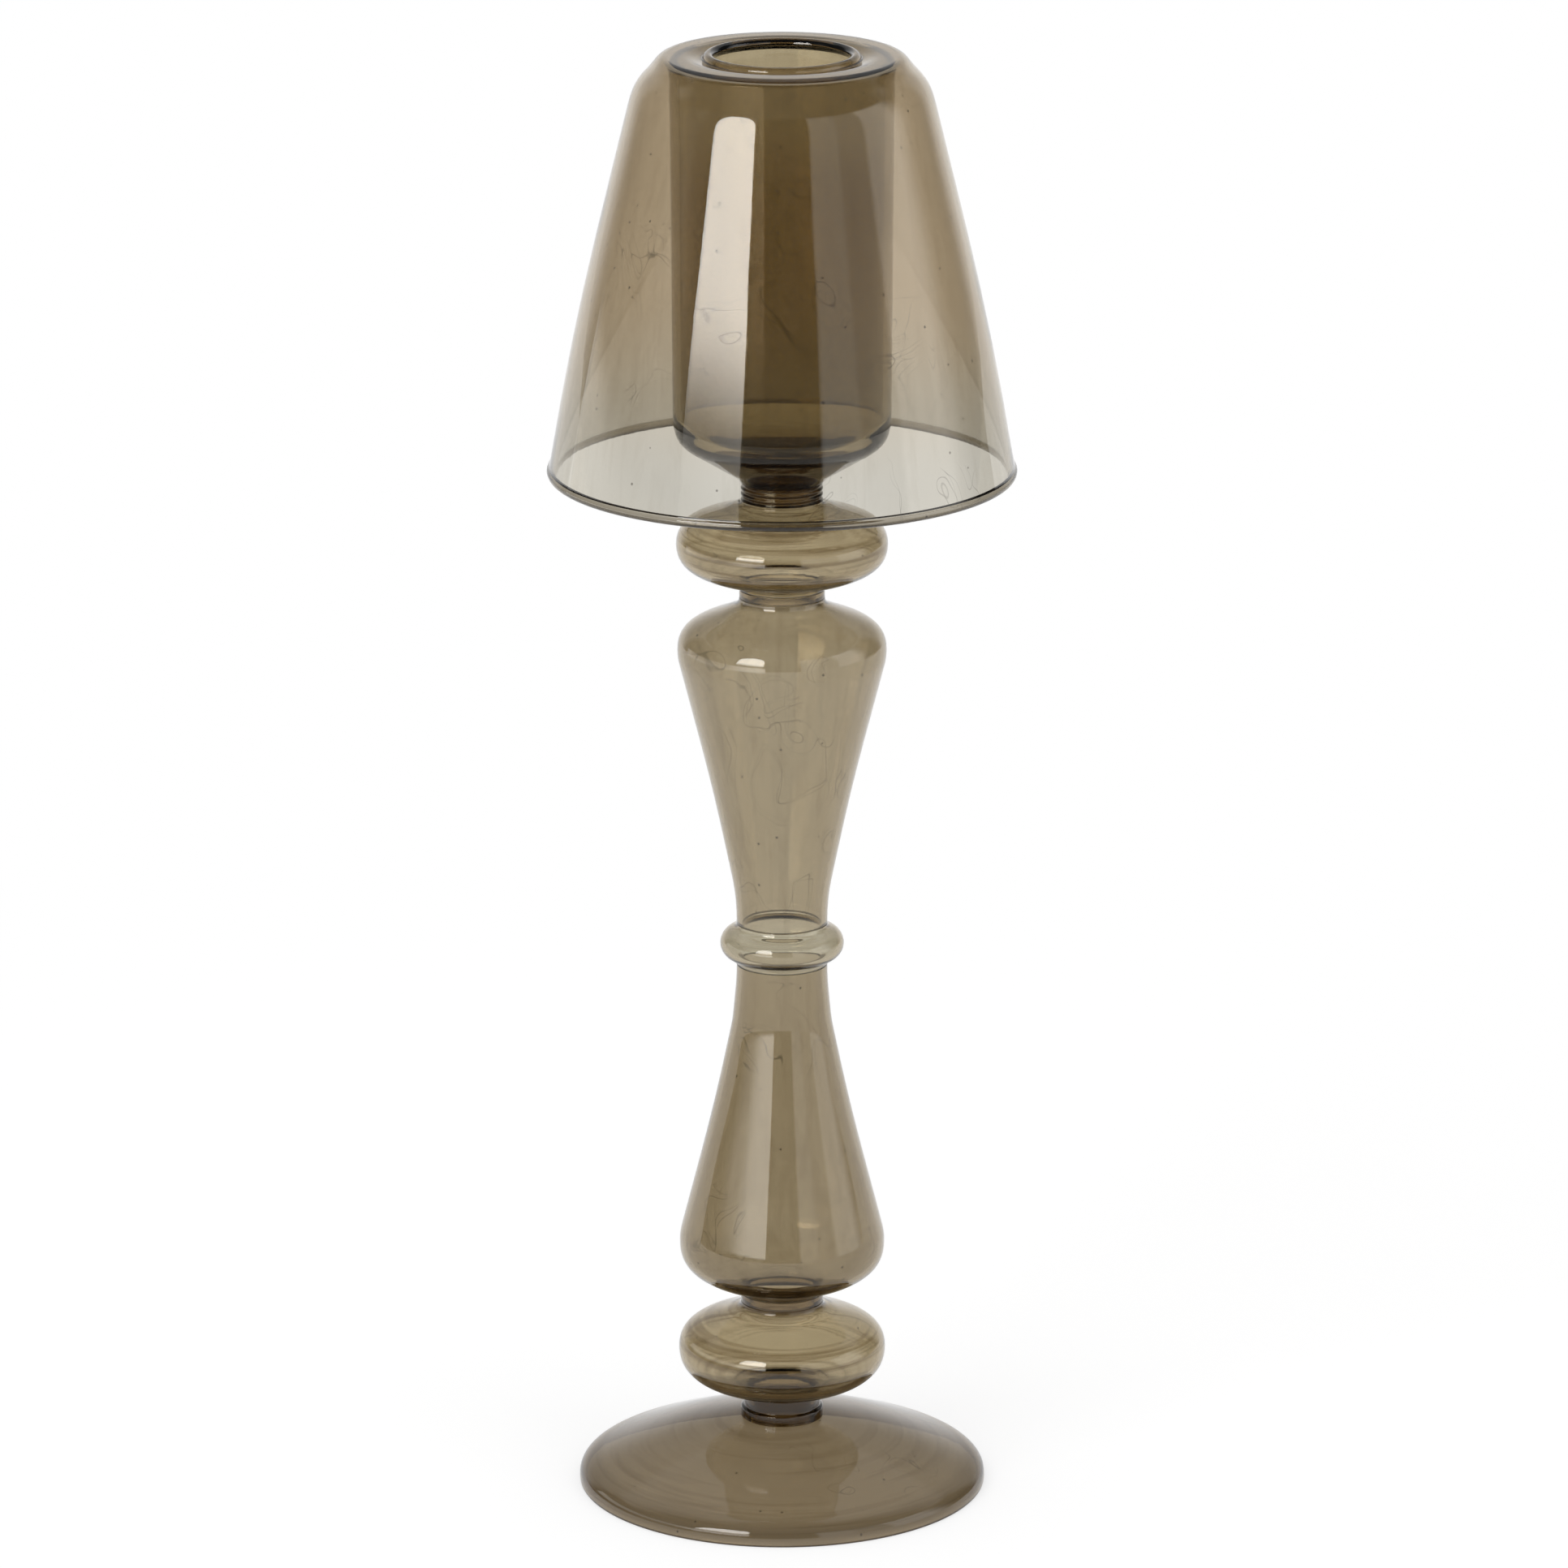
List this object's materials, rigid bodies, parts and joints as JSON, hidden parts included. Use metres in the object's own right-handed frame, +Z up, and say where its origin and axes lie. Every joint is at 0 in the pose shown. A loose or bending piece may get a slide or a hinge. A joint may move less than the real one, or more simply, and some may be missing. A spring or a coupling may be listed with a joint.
{
  "type": "hurricane candle holder",
  "caption": "Tall smoked-glass hurricane candle holder: a stem of blown bulbs on a domed foot, a straight candle cup and a loose cone shade with a hole in its top.",
  "frame": {"origin": "centre of the circle that the foot stands on, at floor height", "axes": "+Z up along the stem; the piece is round, so X and Y are free, and the picture looks along +Y with +X to the right"},
  "size_m": [0.142, 0.142, 0.4511],
  "materials": {
    "foot_glass": "smoked brown-olive glass, fire polished",
    "stem_glass": "smoked brown-olive blown glass, clear and glossy",
    "seal_glass": "thicker smoked glass where the bulbs are flame sealed",
    "dark_seal_glass": "thick dark smoked glass with fine rings",
    "cup_glass": "smoked brown-olive glass, heavy base",
    "shade_glass": "thin smoked blown glass, fire-polished rim beads"
  },
  "bodies": {
    "holder": {"foot": "foot_glass", "foot_neck": "seal_glass", "lower_bead": "stem_glass", "lower_neck": "seal_glass", "lower_vase": "stem_glass", "middle_ring": "stem_glass", "upper_vase": "stem_glass", "upper_neck": "seal_glass", "upper_bead": "stem_glass", "cup_neck": "dark_seal_glass", "cup": "cup_glass"},
    "shade": {"shade": "shade_glass"}
  },
  "joints": [
    {"name": "shade_lift", "type": "slide", "parent": "holder", "child": "shade", "axis": [0, 0, 1], "range_m": [0, 0.15]}
  ]
}
